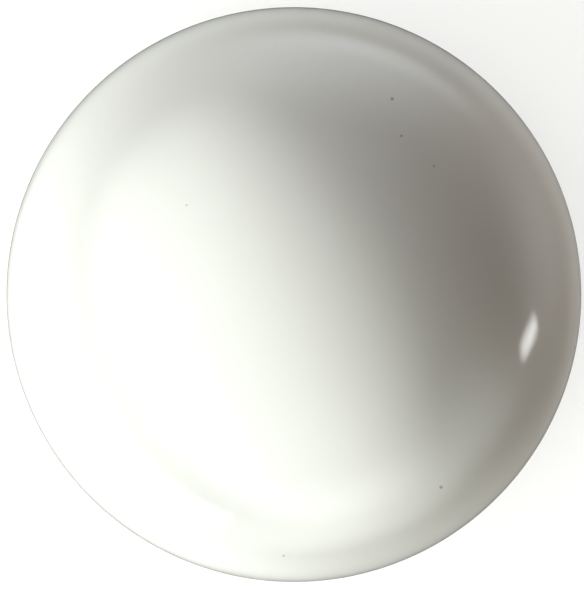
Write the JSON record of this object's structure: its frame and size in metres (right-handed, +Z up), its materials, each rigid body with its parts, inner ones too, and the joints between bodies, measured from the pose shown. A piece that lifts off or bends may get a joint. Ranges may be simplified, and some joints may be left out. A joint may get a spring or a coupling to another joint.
{
  "type": "round dome fence post cap",
  "caption": "Round dome cap for the top of a tubular fence post: a glossy cover lifts off a socketed collar with concealed set screws, seals and inserts.",
  "frame": {"origin": "centre of the collar's flat underside, on the post's axis", "axes": "+Z up along the post and out through the top of the dome; set screw 1 is on +Y; the pry notches are on +X and -X"},
  "size_m": [0.08, 0.08, 0.0413],
  "materials": {
    "cover_gloss": "glossy moulded white",
    "collar_nylon": "satin glass-filled nylon",
    "gasket_rubber": "matt black EPDM sheet",
    "o_ring_rubber": "moulded black EPDM",
    "insert_brass": "turned and knurled brass",
    "screw_steel": "plain stainless steel"
  },
  "bodies": {
    "collar": {"post_collar": "collar_nylon", "thread_insert_1": "insert_brass", "thread_insert_2": "insert_brass", "thread_insert_3": "insert_brass", "post_end_gasket": "gasket_rubber", "cover_o_ring": "o_ring_rubber"},
    "cover": {"dome_cover": "cover_gloss"},
    "set_screw_1": {"set_screw_1": "screw_steel"},
    "set_screw_2": {"set_screw_2": "screw_steel"},
    "set_screw_3": {"set_screw_3": "screw_steel"}
  },
  "joints": [
    {"name": "cover_lift", "type": "slide", "parent": "collar", "child": "cover", "axis": [0, 0, 1], "range_m": [0, 0.045]},
    {"name": "set_screw_1_travel", "type": "slide", "parent": "collar", "child": "set_screw_1", "axis": [0, -1, 0], "range_m": [0, 0.003]},
    {"name": "set_screw_2_travel", "type": "slide", "parent": "collar", "child": "set_screw_2", "axis": [0.866, 0.5, 0], "range_m": [0, 0.003]},
    {"name": "set_screw_3_travel", "type": "slide", "parent": "collar", "child": "set_screw_3", "axis": [-0.866, 0.5, 0], "range_m": [0, 0.003]}
  ]
}
